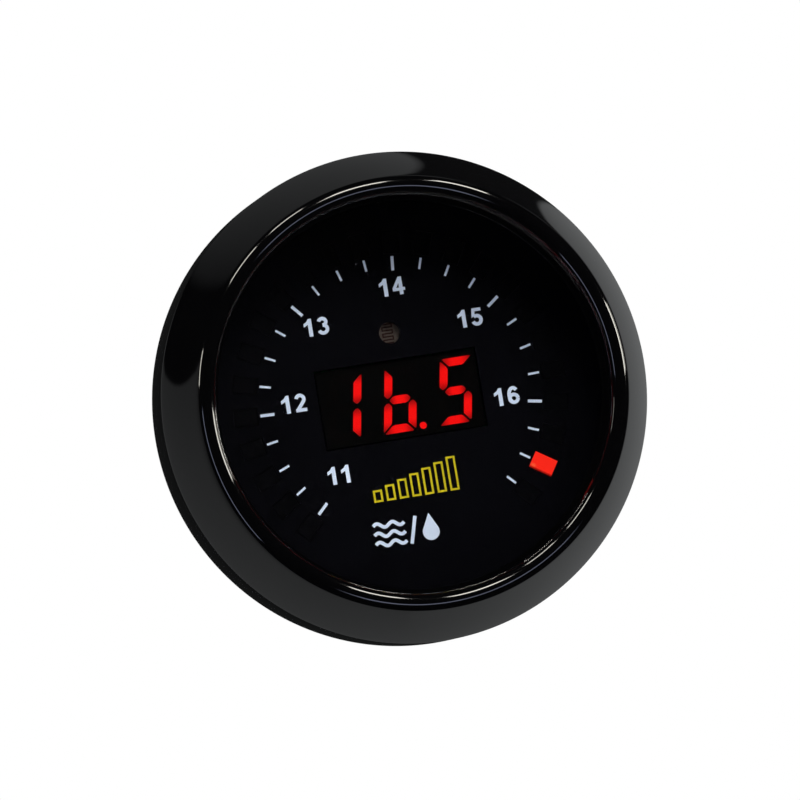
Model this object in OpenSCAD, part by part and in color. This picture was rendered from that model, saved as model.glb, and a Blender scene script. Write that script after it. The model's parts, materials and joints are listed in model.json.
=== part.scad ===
// Round instrument for a 52 mm panel hole: a cup with a board stack and a dial with 24 lit
// windows and a three-digit display, closed by a lens under a screwed bezel.
// The pieces are drawn with the dial facing up Z and then turned to face along -Y.
// The origin is on the axis, in the plane where the flange seats on the panel.

/* [Cup] */
// Outer diameter of the cup, which goes through the panel
cup_d = 52.4; // [51.8:0.1:53]
// Depth of the cup behind the panel
cup_depth = 25; // [24.5:0.5:40]
// Wall of the cup
cup_wall = 1.8; // [1.5:0.1:2]
// Thickness of the rear wall
cup_floor = 2; // [1.8:0.1:2.4]
// Thickness of the flange that seats on the panel
flange_t = 1.6; // [1.2:0.1:2.4]
// Height of the threaded collar above the panel
collar_h = 9.4; // [8.8:0.1:9.8]
// Wall of the collar around the dial
collar_wall = 2.3; // [2:0.1:2.4]

/* [Bezel] */
// Wall of the bezel around the flange
bezel_wall = 1.7; // [1.4:0.1:2.6]
// Length of its straight side
bezel_side = 9; // [7:0.1:10]
// How far the cone leads in from the side to the lip
cone_in = 3.6; // [3:0.1:4.2]
// Height of the lip's edge above the shoulder that holds the seal
lip_rise = 3.2; // [2.6:0.1:3.8]
// Radius of the rounded lip
lip_round = 1.2; // [0.8:0.1:1.3]
// Lean of the wall inside the lip
mouth_lean = 12; // [4:1:20]

/* [Lens] */
// Thickness of the lens
lens_t = 2; // [1.5:0.1:2.2]
// Thickness of the seal in front of the lens
seal_t = 0.8; // [0.5:0.1:1]
// Width of the seal
seal_w = 1.8; // [1.2:0.1:2.2]

/* [Dial] */
// Depth of the dial's face below the front of the collar
dial_recess = 4.4; // [3.8:0.1:4.8]
// Thickness of the dial
dial_t = 1; // [0.8:0.1:1.4]
// Width of the ledge that the dial seats on
dial_seat_w = 1.1; // [0.9:0.1:1.3]
// Room beside the digits in the display window
window_margin_x = 0.44; // [0.3:0.02:0.8]
// Room above and below them
window_margin_y = 0.9; // [0.6:0.1:1.3]
// Diameter of the sensor hole
sensor_hole_d = 2.7; // [2:0.1:3.6]

/* [Scale] */
// Number of marks and lit windows
scale_count = 24; // [12:1:24]
// Angle from the first mark to the last
scale_sweep = 270; // [250:1:276]
// A longer mark comes every so many
major_step = 4; // [2:1:6]
// Distance from the cup's inner wall to the scale windows
scale_inset = 3.5; // [3:0.1:4.2]
// Length and width of a mark
mark_len = 1.4; // [1:0.1:2]
mark_w = 0.27; // [0.2:0.01:0.5]
// Length and width of a longer mark
major_len = 1.75; // [1.2:0.05:2.6]
major_w = 0.36; // [0.2:0.01:0.6]
// Radial length and width of a scale window
cell_len = 3; // [2.4:0.1:3.2]
cell_w = 2.1; // [1.6:0.1:2.3]

/* [Digits] */
// Height and width of a digit
digit_h = 8.1; // [7:0.1:8.6]
digit_w = 4.1; // [3.6:0.1:4.4]
// Width of a lit bar
bar_w = 1; // [0.7:0.05:1.1]
// Distance from digit to digit
digit_spacing = 7; // [6.6:0.1:7.1]
// Lean of the digits
digit_slant = 10; // [0:1:11]

/* [Boards] */
// Thickness of the two boards
board_t = 1.6; // [1.2:0.1:1.8]
// Height of the light guide on the display board
guide_h = 4.2; // [3.6:0.1:4.6]
// Distance between the boards
spacer_h = 8.4; // [7:0.1:9]

/* [Rear] */
// Diameter of the mounting studs
stud_d = 4; // [3:0.5:5]
// Length of the studs behind the cup
stud_len = 16; // [8:1:30]
// Distance from the cup's side to the axis of a stud
stud_inset = 8.7; // [7.5:0.1:10]
// Diameter of the case screws
screw_d = 2.5; // [2:0.1:2.8]

/* [Hidden] */
$fn = 96;
// Clearances
fit_gap = 0.1;
run_gap = 0.05;
seat_gap = 0.1;
rear_gap = 0.3;
flange_gap = 0.15;
overrun = 0.5;

// Radii from the cup outwards
cup_r = cup_d / 2;
cup_in_r = cup_r - cup_wall;
dial_bore_r = cup_in_r + dial_seat_w;
dial_r = dial_bore_r - fit_gap;
thread_r = dial_bore_r + collar_wall;
flange_step = 0.5;
flange_r = thread_r + flange_step;
skirt_r = flange_r + flange_gap;
bezel_r = skirt_r + bezel_wall;
lip_r = bezel_r - cone_in;
lens_seat_w = 0.7;
lens_r = dial_bore_r + lens_seat_w;
board_gap = 0.5;
board_r = cup_in_r - board_gap;

// Heights from the front to the rear
lens_z = collar_h + seat_gap;
seal_z = lens_z + lens_t;
shoulder_z = seal_z + seal_t + seat_gap;
lip_z = shoulder_z + lip_rise;
dial_z = collar_h - dial_recess;
dial_rear_z = dial_z - dial_t;
pipe_t = 0.8;
pipe_rear_z = dial_rear_z - pipe_t;
display_front_z = pipe_rear_z - guide_h;
display_rear_z = display_front_z - board_t;
main_front_z = display_rear_z - spacer_h;
main_rear_z = main_front_z - board_t;
floor_z = -cup_depth + cup_floor;

// Roundings and chamfers
bezel_edge = 0.5;
cup_edge = 1.2;
lens_edge = 0.3;

// Key that keeps the dial upright
key_w = 2;
key_in = 0.7;

// Scale windows and the ring behind them
cell_gap = 0.3;
cell_out_r = cup_in_r - scale_inset;
cell_in_r = cell_out_r - cell_len;
mark_r = cell_in_r - cell_gap;
cell_step = scale_sweep / (scale_count - 1);
pipe_margin = 0.7;
pad_gap = 0.06;
pad_sink = 0.05;
guide_gap = 0.1;
print_t = 0.05;

// Lamps of the scale
lamp_len = 2;
lamp_w = 1.25;
lamp_base_t = 0.5;
lamp_top_t = 0.4;
lamp_top_share = 0.7;

// Digits and their window
window_w = 2 * digit_spacing + digit_w + digit_h * tan(digit_slant) + 2 * window_margin_x;
window_h = digit_h + 2 * window_margin_y;
bar_gap = 0.14;
bar_t = 0.5;
module_gap = 0.2;
module_sink = 0.4;
point_d = 0.9;
point_gap = 0.42;
LIT = ["bc", "cdefg", "acdfg"];
LIT_POINT = [false, true, false];
BARS = "abcdefg";
module_pins = 6;
module_pin_spacing = 2.54;
module_pin_row = 7.62;
pin_r = 0.25;
pin_hole_r = 0.4;
pin_out = 1;

// Photocell
sensor_d = 5.1;
sensor_t = 2;
sensor_rise = 3.3;
sensor_y = window_h / 2 + sensor_rise;
sensor_gap = 0.2;
sensor_lead_x = 1.27;
collar_t = 0.5;
web_w = 2;

// Light guide pegs
peg_r = 0.9;
peg_angle = 36;

// Screws, spacers and bosses
boss_inset = 3.6;
boss_place_r = board_r - boss_inset;
// The spacers end between two lamps, nearest to a third of a turn apart
boss_count = 3;
boss_angle = round(360 / boss_count / cell_step) * cell_step;
BOSS_ANGLES = [-boss_angle, 0, boss_angle];
screw_r = screw_d / 2;
boss_r = 3.1;
head_d_share = 1.8;
head_t = 1.5;
head_sink = 0.3;
screw_reach = 4;
spacer_af = 4.6;
spigot_r = 1.1;
slot_w = 0.8;
slot_t = 0.7;

// Studs
stud_r = stud_d / 2;
stud_x = cup_r - stud_inset;
stud_head_af_share = 1.75;
stud_head_t = 2;
stud_boss_share = 2.3;
stud_pad_t = 1;
stud_tip = 0.4;
// Plain neck of a stud in the rear wall
neck_step = 0.4;
neck_r = stud_r + neck_step;
neck_out = 0.3;

// Sockets
way_spacing = 3;
socket_margin = 1.1;
socket_wall = 1.1;
socket_floor = 2;
socket_sink = 0.6;
socket_round = 0.6;
contact_w = 0.8;
contact_len = 5;
contact_tail = 1;
latch_w = 3;
latch_t = 0.9;
latch_len = 2.4;
latch_room = 2.4;
key_notch = 1.2;
POWER_SHARE = [-0.25, -0.33];
POWER_WAYS = 2;
SENSOR_SHARE = [0.00, 0.32];
SENSOR_WAYS = 3;
ROWS = 2;
socket_front_z = -cup_depth + socket_sink;

// Output selector
SELECTOR_SHARE = [0.36, -0.30];
selector_w = 7.6;
selector_r = 2.4;
selector_hole_gap = 0.4;
selector_stem = 5;
selector_slot_w = 0.9;
selector_slot_t = 1.3;
selector_notch = 1.1;
selector_face_gap = 0.4;

// Chips and small parts on the boards
MCU_SIZE = [7, 7, 1.4];
MCU_SHARE = [0.1, -0.1];
MCU_LEADS = 8;
DRIVER_SIZE = [3.9, 9.9, 1.6];
DRIVER_SHARE = 0.52;
DRIVER_LEADS = 8;
CONTROLLER_SIZE = [3.9, 9.9, 1.6];
CONTROLLER_SHARE = [-0.54, 0.3];
CONTROLLER_LEADS = 8;
LEAD_SHARES = [[0, 0.5], [0.45, 0.5], [0.65, 0.1], [1, 0.1], [1, 0], [0.5, 0], [0.32, 0.38], [0, 0.38]];
lead_reach = 1;
chip_lift_share = 0.1;
lead_w = 0.35;
mcu_lead_spacing = 0.8;
chip_lead_spacing = 1.27;
REGULATOR_SIZE = [6.6, 6.2, 2.3];
REGULATOR_SHARE = [0.6, 0.4];
REGULATOR_TAB_SIZE = [5.3, 1.2, 0.6];
REGULATOR_LEG_SIZE = [0.8, 2.6, 0.6];
regulator_leg_spacing = 4.56;
COIL_SIZE = [6, 6, 3];
COIL_SHARE = [0.58, -0.06];
coil_core_r = 2.4;
coil_corner = 1.2;
coil_dish = 0.4;
CAP_SHARES = [[-0.26, 0.61], [0.26, 0.61], [-0.478, -0.545]];
cap_r = 2.5;
cap_h = 5.4;
CAP_BASE_SIZE = [5.3, 5.3, 1];
cap_corner = 1;
cap_groove = 0.25;
cap_groove_z = 1.9;
CRYSTAL_SIZE = [7.2, 3.6, 2.4];
CRYSTAL_SHARE = [0.06, -0.46];
crystal_foot = 0.4;
crystal_corner = 1.4;
DIODE_SIZE = [4.4, 3.6, 2.2];
DIODE_SHARE = [0.42, -0.56];
DIODE_LEG_SIZE = [0.7, 2, 1];
RESISTOR_SIZE = [2, 1.25, 0.55];
RESISTOR_SHARES = [[-0.68, -0.15], [-0.44, -0.15]];
RESISTORS = 4;
resistor_rows = 2.4;

// Header between the boards
HEADER_PINS = 8;
header_inset = 4.9;
header_y = -(board_r - header_inset);
header_spacing = 2.54;
header_w = 2.5;
header_h = 2.5;

module facing() {
    rotate([90, 0, 0]) children();
}

// Disc or tube between two heights
module disc(r, low, high) {
    translate([0, 0, low]) cylinder(r = r, h = high - low);
}

module tube(r, bore, low, high) {
    difference() {
        disc(r, low, high);
        disc(bore, low - overrun, high + overrun);
    }
}

// Block centred on a place in plan, between two heights
module block(place, w, h, low, high) {
    translate([place.x - w / 2, place.y - h / 2, low]) cube([w, h, high - low]);
}

// Rectangle with true round corners
module round_rect(w, h, r) {
    square([w - 2 * r, h], center = true);
    square([w, h - 2 * r], center = true);
    for (x = [-1, 1], y = [-1, 1]) translate([x * (w / 2 - r), y * (h / 2 - r)]) circle(r = r);
}

module round_block(place, w, h, r, low, high) {
    translate([place.x, place.y, low]) linear_extrude(high - low) round_rect(w, h, r);
}

module hexagon(af, low, high) {
    translate([0, 0, low]) cylinder(r = af / 2 / cos(30), h = high - low, $fn = 6);
}

// A corner b between a and c, cut back to where a round of radius r touches its sides
function unit(v) = v / norm(v);
function half_angle(a, b, c) = acos(unit(a - b) * unit(c - b)) / 2;
function reach(a, b, c, r) = r / tan(half_angle(a, b, c));
function round_centre(a, b, c, r) =
    b + unit(unit(a - b) + unit(c - b)) * r / sin(half_angle(a, b, c));
function cut_corner(a, b, c, r) = r == 0 ? [b] :
    [b + unit(a - b) * reach(a, b, c, r), b + unit(c - b) * reach(a, b, c, r)];

// Outline whose convex corners are rounded by their own radii
module rounded_outline(points, radii) {
    n = len(points);
    polygon([for (i = [0 : n - 1])
        each cut_corner(points[(i + n - 1) % n], points[i], points[(i + 1) % n], radii[i])]);
    for (i = [0 : n - 1]) if (radii[i] > 0)
        translate(round_centre(points[(i + n - 1) % n], points[i], points[(i + 1) % n], radii[i]))
            circle(r = radii[i]);
}

// Places round the scale, the first mark at the lower left
module at_cells() {
    for (k = [0 : scale_count - 1]) rotate(scale_sweep / 2 - k * cell_step) children();
}

module at_bosses() {
    for (a = BOSS_ANGLES) rotate(a) translate([0, boss_place_r, 0]) children();
}

module at_studs() {
    for (x = [-1, 1]) translate([x * stud_x, 0, 0]) children();
}

// Bezel

// Point where the round of the lip leaves the inner wall, and its centre
lip_side = unit([lip_z - bezel_side, bezel_r - lip_r]);
lip_centre = [lip_r, lip_z] - lip_round * lip_side;
lip_inner = lip_centre + lip_round * [-cos(mouth_lean), sin(mouth_lean)];
mouth_r = lip_inner.x - (lip_inner.y - shoulder_z) * tan(mouth_lean);
thread_bore_r = thread_r + run_gap;
lens_bore_r = lens_r + flange_gap;

module bezel_profile() {
    rounded_outline(
        [[skirt_r, rear_gap], [bezel_r, rear_gap], [bezel_r, bezel_side], [lip_r, lip_z], lip_inner,
         [mouth_r, shoulder_z], [lens_bore_r, shoulder_z], [lens_bore_r, lens_z + seat_gap],
         [thread_bore_r, lens_z + seat_gap], [thread_bore_r, flange_t + rear_gap],
         [skirt_r, flange_t + rear_gap]],
        [0, bezel_edge, bezel_edge, 0, 0, 0, 0, 0, 0, 0, 0]);
    translate(lip_centre) circle(r = lip_round);
}

module bezel() {
    color("#1b1b1c") facing() rotate_extrude() bezel_profile();
}

// Lens and its seal

module lens() {
    color("#dfe8ee", 0.35) facing() rotate_extrude() polygon([
        [0, lens_z], [lens_r - lens_edge, lens_z], [lens_r, lens_z + lens_edge],
        [lens_r, seal_z - lens_edge], [lens_r - lens_edge, seal_z], [0, seal_z]]);
}

module lens_seal() {
    color("#2a2a2a") facing() tube(lens_r, lens_r - seal_w, seal_z, seal_z + seal_t);
}

// Dial

module cell_outline(grow) {
    translate([-cell_w / 2 - grow, cell_in_r - grow]) square([cell_w + 2 * grow, cell_len + 2 * grow]);
}

module dial_face() {
    color("#0c0c0d") facing() difference() {
        disc(dial_r, dial_rear_z, dial_z);
        block([0, 0], window_w, window_h, dial_rear_z - overrun, dial_z + overrun);
        translate([0, sensor_y, 0]) disc(sensor_hole_d / 2, dial_rear_z - overrun, dial_z + overrun);
        at_cells() translate([0, 0, dial_rear_z - overrun])
            linear_extrude(dial_t + 2 * overrun) cell_outline(0);
        block([0, -dial_r], key_w + 2 * fit_gap, 2 * (key_in + fit_gap),
              dial_rear_z - overrun, dial_z + overrun);
    }
}

module mark(length, width) {
    translate([-width / 2, mark_r - length, dial_z]) cube([width, length, print_t]);
}

module dial_marks() {
    color("#c9d6e6") facing() for (k = [0 : scale_count - 1])
        rotate(scale_sweep / 2 - k * cell_step)
            if (k % major_step == 0) mark(major_len, major_w); else mark(mark_len, mark_w);
}

module light_pipe_ring() {
    color("#17110f") facing() {
        tube(cell_out_r + pipe_margin, cell_in_r - pipe_margin, pipe_rear_z, dial_rear_z);
        at_cells() translate([0, 0, pipe_rear_z])
            linear_extrude(pipe_t + dial_t - pad_sink) cell_outline(-pad_gap);
    }
}

// Seven-segment display

function flip_x(points) = [for (p = points) [-p.x, p.y]];
function flip_y(points) = [for (p = points) [p.x, -p.y]];
function slanted(p) = [p.x + p.y * tan(digit_slant), p.y];
top_bar = [
    [-digit_w / 2 + bar_gap, digit_h / 2], [digit_w / 2 - bar_gap, digit_h / 2],
    [digit_w / 2 - bar_w - bar_gap, digit_h / 2 - bar_w],
    [-digit_w / 2 + bar_w + bar_gap, digit_h / 2 - bar_w]];
side_bar = [
    [-digit_w / 2, digit_h / 2 - bar_gap], [-digit_w / 2 + bar_w, digit_h / 2 - bar_w - bar_gap],
    [-digit_w / 2 + bar_w, bar_w / 2 + bar_gap], [-digit_w / 2 + bar_w / 2, bar_gap],
    [-digit_w / 2, bar_w / 2 + bar_gap]];
middle_bar = [
    [-digit_w / 2 + bar_w / 2 + bar_gap, 0], [-digit_w / 2 + bar_w + bar_gap, bar_w / 2],
    [digit_w / 2 - bar_w - bar_gap, bar_w / 2], [digit_w / 2 - bar_w / 2 - bar_gap, 0],
    [digit_w / 2 - bar_w - bar_gap, -bar_w / 2], [-digit_w / 2 + bar_w + bar_gap, -bar_w / 2]];
function bar_outline(s) =
    s == "a" ? top_bar : s == "d" ? flip_y(top_bar) : s == "g" ? middle_bar :
    s == "f" ? side_bar : s == "b" ? flip_x(side_bar) : s == "e" ? flip_y(side_bar) :
    flip_x(flip_y(side_bar));
function is_lit(digit, s) = len(search(s, LIT[digit])) > 0;
point_at = [digit_w / 2 + point_gap + point_d / 2, -digit_h / 2 + point_d / 2];
module_face_z = dial_z - module_sink;

// Bars and points of the three digits: lit, dark, or all
module bars(want_lit, want_dark) {
    for (digit = [0 : 2]) translate([(digit - 1) * digit_spacing, 0]) {
        for (s = BARS) if (is_lit(digit, s) ? want_lit : want_dark)
            polygon([for (p = bar_outline(s)) slanted(p)]);
        if (LIT_POINT[digit] ? want_lit : want_dark)
            translate(slanted(point_at)) circle(d = point_d);
    }
}

module digit_module() {
    color("#0a0a0a") facing() difference() {
        block([0, 0], window_w - 2 * module_gap, window_h - 2 * module_gap, display_front_z, module_face_z);
        translate([0, 0, module_face_z - bar_t]) linear_extrude(bar_t + overrun) bars(true, true);
    }
}

module lit_segments() {
    color("#ff2413") facing() translate([0, 0, module_face_z - bar_t])
        linear_extrude(bar_t) bars(true, false);
}

module unlit_segments() {
    color("#14090a") facing() translate([0, 0, module_face_z - bar_t])
        linear_extrude(bar_t) bars(false, true);
}

module at_module_pins() {
    for (i = [0 : module_pins - 1], y = [-1, 1])
        translate([(i - (module_pins - 1) / 2) * module_pin_spacing, y * module_pin_row / 2, 0]) children();
}

module digit_pins() {
    color("#c8c8c4") facing() at_module_pins() disc(pin_r, display_rear_z - pin_out, display_front_z);
}

// Light guide, lamps and photocell

module light_guide() {
    color("#111111") facing() {
        difference() {
            union() {
                tube(cell_out_r + pipe_margin, cell_in_r - pipe_margin, display_front_z, pipe_rear_z);
                block([0, (sensor_y + cell_in_r) / 2], web_w, cell_in_r - sensor_y,
                      display_front_z, pipe_rear_z);
                translate([0, sensor_y, 0])
                    disc(sensor_d / 2 + fit_gap + collar_t, display_front_z, pipe_rear_z);
            }
            at_cells() translate([0, 0, display_front_z - overrun])
                linear_extrude(guide_h + 2 * overrun) cell_outline(guide_gap);
            translate([0, sensor_y, 0])
                disc(sensor_d / 2 + fit_gap, display_front_z - overrun, pipe_rear_z + overrun);
        }
        at_pegs() disc(peg_r, display_rear_z, display_front_z);
    }
}

module at_pegs() {
    for (a = [-1, 1]) rotate(180 + a * peg_angle)
        translate([0, (cell_in_r + cell_out_r) / 2, 0]) children();
}

module scale_leds() {
    color("#d8d3c0") facing() at_cells() translate([0, cell_in_r + cell_len / 2, 0]) {
        block([0, 0], lamp_w, lamp_len, display_front_z, display_front_z + lamp_base_t);
        block([0, 0], lamp_w, lamp_len * lamp_top_share, display_front_z + lamp_base_t,
              display_front_z + lamp_base_t + lamp_top_t);
    }
}

sensor_front_z = dial_rear_z - sensor_gap;

module light_sensor() {
    color("#8a6f60") facing() translate([0, sensor_y, 0]) {
        disc(sensor_d / 2, sensor_front_z - sensor_t, sensor_front_z);
        for (x = [-1, 1]) translate([x * sensor_lead_x, 0, 0])
            disc(pin_r, display_rear_z - pin_out, sensor_front_z - sensor_t);
    }
}

// Boards

module board_blank(rear_z) {
    disc(board_r, rear_z, rear_z + board_t);
}

module header_holes(rear_z) {
    at_header_pins() disc(pin_hole_r, rear_z - overrun, rear_z + board_t + overrun);
}

module display_board() {
    color("#0d3b22") facing() difference() {
        board_blank(display_rear_z);
        at_module_pins() disc(pin_hole_r, display_rear_z - overrun, display_front_z + overrun);
        at_bosses() disc(spigot_r + fit_gap, display_rear_z - overrun, display_front_z + overrun);
        at_pegs() disc(peg_r + fit_gap, display_rear_z - overrun, display_front_z + overrun);
        header_holes(display_rear_z);
        for (x = [-1, 1]) translate([x * sensor_lead_x, sensor_y, 0])
            disc(pin_hole_r, display_rear_z - overrun, display_front_z + overrun);
    }
}

module main_board() {
    color("#0d3b22") facing() difference() {
        board_blank(main_rear_z);
        at_bosses() disc(screw_r + fit_gap, main_rear_z - overrun, main_front_z + overrun);
        header_holes(main_rear_z);
        at_contacts(POWER_SHARE * board_r, POWER_WAYS) contact_hole();
        at_contacts(SENSOR_SHARE * board_r, SENSOR_WAYS) contact_hole();
    }
}

module board_spacers() {
    color("#c9a44c") facing() at_bosses() difference() {
        union() {
            hexagon(spacer_af, main_front_z, display_rear_z);
            disc(spigot_r, display_rear_z, display_front_z);
        }
        disc(screw_r + run_gap, main_front_z - overrun, main_front_z + screw_reach + screw_r);
    }
}

module at_header_pins() {
    for (i = [0 : HEADER_PINS - 1])
        translate([(i - (HEADER_PINS - 1) / 2) * header_spacing, header_y, 0]) children();
}

module board_header() {
    color("#151515") facing() difference() {
        block([0, header_y], HEADER_PINS * header_spacing, header_w, main_front_z, main_front_z + header_h);
        at_header_pins() disc(pin_r, main_front_z - overrun, main_front_z + header_h + overrun);
    }
}

module header_pins() {
    color("#d2b36a") facing() at_header_pins() disc(pin_r, main_rear_z - pin_out, display_front_z);
}

// Chips with gull-wing leads, seated on a face that looks up

module lead(height) {
    rotate([90, 0, 0]) translate([0, 0, -lead_w / 2]) linear_extrude(lead_w)
        polygon([for (p = LEAD_SHARES) [p.x * lead_reach, p.y * height]]);
}

module lead_row(count, spacing, half, height) {
    for (i = [0 : count - 1])
        translate([half, (i - (count - 1) / 2) * spacing, 0]) lead(height);
}

module chip(size, leads, spacing, sides) {
    block([0, 0], size.x, size.y, size.z * chip_lift_share, size.z);
    for (a = sides) rotate(a) lead_row(leads, spacing, (a % 180 == 0 ? size.x : size.y) / 2, size.z);
}

// Place on the main board, as a share of its radius
module on_main(share) {
    translate([share.x * board_r, share.y * board_r, main_front_z]) children();
}

module led_drivers() {
    color("#1d1d1f") facing() for (x = [-1, 1])
        translate([x * DRIVER_SHARE * board_r, 0, display_rear_z]) mirror([0, 0, 1])
            chip(DRIVER_SIZE, DRIVER_LEADS, chip_lead_spacing, [0, 180]);
}

module microcontroller() {
    color("#1d1d1f") facing() on_main(MCU_SHARE)
        chip(MCU_SIZE, MCU_LEADS, mcu_lead_spacing, [0, 90, 180, 270]);
}

module sensor_controller() {
    color("#1d1d1f") facing() on_main(CONTROLLER_SHARE)
        chip(CONTROLLER_SIZE, CONTROLLER_LEADS, chip_lead_spacing, [0, 180]);
}

module voltage_regulator() {
    color("#202022") facing() on_main(REGULATOR_SHARE) {
        block([0, 0], REGULATOR_SIZE.x, REGULATOR_SIZE.y, 0, REGULATOR_SIZE.z);
        block([0, (REGULATOR_SIZE.y + REGULATOR_TAB_SIZE.y) / 2],
              REGULATOR_TAB_SIZE.x, REGULATOR_TAB_SIZE.y, 0, REGULATOR_TAB_SIZE.z);
        for (x = [-1, 1])
            block([x * regulator_leg_spacing / 2, -(REGULATOR_SIZE.y + REGULATOR_LEG_SIZE.y) / 2],
                  REGULATOR_LEG_SIZE.x, REGULATOR_LEG_SIZE.y, 0, REGULATOR_LEG_SIZE.z);
    }
}

module inductor() {
    color("#3a3a3c") facing() on_main(COIL_SHARE) difference() {
        round_block([0, 0], COIL_SIZE.x, COIL_SIZE.y, coil_corner, 0, COIL_SIZE.z);
        disc(coil_core_r, COIL_SIZE.z - coil_dish, COIL_SIZE.z + overrun);
    }
}

module capacitors() {
    color("#b9bcc0") facing() for (share = CAP_SHARES) on_main(share) {
        round_block([0, 0], CAP_BASE_SIZE.x, CAP_BASE_SIZE.y, cap_corner, 0, CAP_BASE_SIZE.z);
        rotate_extrude() difference() {
            translate([0, CAP_BASE_SIZE.z]) square([cap_r, cap_h - CAP_BASE_SIZE.z]);
            translate([cap_r, cap_groove_z]) circle(r = cap_groove);
        }
    }
}

module crystal() {
    color("#c6c8ca") facing() on_main(CRYSTAL_SHARE) {
        round_block([0, 0], CRYSTAL_SIZE.x, CRYSTAL_SIZE.y, crystal_corner, 0, crystal_foot);
        round_block([0, 0], CRYSTAL_SIZE.x - 2 * crystal_foot, CRYSTAL_SIZE.y - 2 * crystal_foot,
                    crystal_corner - crystal_foot, crystal_foot, CRYSTAL_SIZE.z);
    }
}

module protection_diode() {
    color("#232325") facing() on_main(DIODE_SHARE) {
        block([0, 0], DIODE_SIZE.x, DIODE_SIZE.y, 0, DIODE_SIZE.z);
        for (x = [-1, 1])
            block([x * (DIODE_SIZE.x + DIODE_LEG_SIZE.x) / 2, 0],
                  DIODE_LEG_SIZE.x, DIODE_LEG_SIZE.y, 0, DIODE_LEG_SIZE.z);
    }
}

module chip_resistors() {
    step = (RESISTOR_SHARES[1] - RESISTOR_SHARES[0]) / (RESISTORS - 1);
    color("#2b2b2e") facing() for (i = [0 : RESISTORS - 1], row = [0, 1])
        on_main(RESISTOR_SHARES[0] + i * step) translate([0, row * resistor_rows, 0])
            block([0, 0], RESISTOR_SIZE.y, RESISTOR_SIZE.x, 0, RESISTOR_SIZE.z);
}

// Sockets at the rear

function cavity(ways) = [ways * way_spacing + socket_margin, ROWS * way_spacing + socket_margin];
function shell(ways) = cavity(ways) + 2 * [socket_wall, socket_wall];

module at_contacts(place, ways) {
    first = place - [ways - 1, ROWS - 1] * way_spacing / 2;
    for (i = [0 : ways - 1], j = [0 : ROWS - 1])
        translate([first.x + i * way_spacing, first.y + j * way_spacing, 0]) children();
}

module contact_hole() {
    disc(contact_w / 2 + fit_gap, main_rear_z - overrun, main_front_z + overrun);
}

module contact_channel() {
    block([0, 0], contact_w, contact_w, main_rear_z - socket_floor - overrun, main_rear_z + overrun);
}

module socket(place, ways) {
    inside = cavity(ways);
    outside = shell(ways);
    difference() {
        union() {
            round_block(place, outside.x, outside.y, socket_round, socket_front_z, main_rear_z);
            translate([place.x - latch_w / 2, place.y + outside.y / 2, socket_front_z + latch_len])
                rotate([90, 0, 90]) linear_extrude(latch_w)
                    polygon([[0, 0], [latch_t, 0], [0, -latch_len]]);
        }
        block(place, inside.x, inside.y, socket_front_z - overrun, main_rear_z - socket_floor);
        block(place + [0, outside.y / 2], key_notch, 3 * socket_wall, socket_front_z - overrun,
              socket_front_z + latch_len);
        at_contacts(place, ways) contact_channel();
    }
}

// Square in the shell and round in the board
module contacts(place, ways) {
    at_contacts(place, ways) {
        block([0, 0], contact_w, contact_w, main_rear_z - socket_floor - contact_len, main_rear_z);
        disc(contact_w / 2, main_rear_z, main_front_z + contact_tail);
    }
}

module power_socket() {
    color("#161616") facing() socket(POWER_SHARE * board_r, POWER_WAYS);
}

module sensor_socket() {
    color("#161616") facing() socket(SENSOR_SHARE * board_r, SENSOR_WAYS);
}

module power_pins() {
    color("#d6c48c") facing() contacts(POWER_SHARE * board_r, POWER_WAYS);
}

module sensor_pins() {
    color("#d6c48c") facing() contacts(SENSOR_SHARE * board_r, SENSOR_WAYS);
}

// Output selector

selector_front_z = floor_z + selector_face_gap;
selector_tip_z = -cup_depth + socket_sink;

module selector_body() {
    color("#1c3f7a") facing() difference() {
        block(SELECTOR_SHARE * board_r, selector_w, selector_w, selector_front_z, main_rear_z);
        translate(SELECTOR_SHARE * board_r)
            disc(selector_r + run_gap, selector_front_z - overrun,
                 selector_front_z + selector_stem + seat_gap);
    }
}

module selector_rotor() {
    color("#e6e2d6") facing() translate(SELECTOR_SHARE * board_r) difference() {
        disc(selector_r, selector_tip_z, selector_front_z + selector_stem);
        block([0, 0], selector_slot_w, 2 * selector_r - selector_notch, selector_tip_z - overrun,
              selector_tip_z + selector_slot_t);
        translate([0, selector_r - selector_notch, selector_tip_z - overrun]) rotate(90)
            cylinder(r = selector_notch, h = selector_slot_t + overrun, $fn = 3);
    }
}

// Cup, studs and screws

module cup_profile() {
    difference() {
        rounded_outline(
            [[0, -cup_depth], [cup_r, -cup_depth], [cup_r, 0], [flange_r, 0], [flange_r, flange_t],
             [thread_r, flange_t], [thread_r, collar_h], [0, collar_h]],
            [0, cup_edge, 0, 0, 0, 0, 0, 0]);
        translate([-overrun, floor_z]) square([cup_in_r + overrun, collar_h - floor_z + overrun]);
        translate([-overrun, dial_rear_z])
            square([dial_bore_r + overrun, collar_h - dial_rear_z + overrun]);
    }
}

module socket_opening(place, ways) {
    outside = shell(ways) + 2 * [fit_gap, fit_gap];
    block(place, outside.x, outside.y, -cup_depth - overrun, floor_z + overrun);
    block(place + [0, (outside.y + latch_room) / 2], latch_w + 2 * fit_gap + 2 * socket_wall,
          latch_room, -cup_depth - overrun, floor_z + overrun);
}

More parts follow.
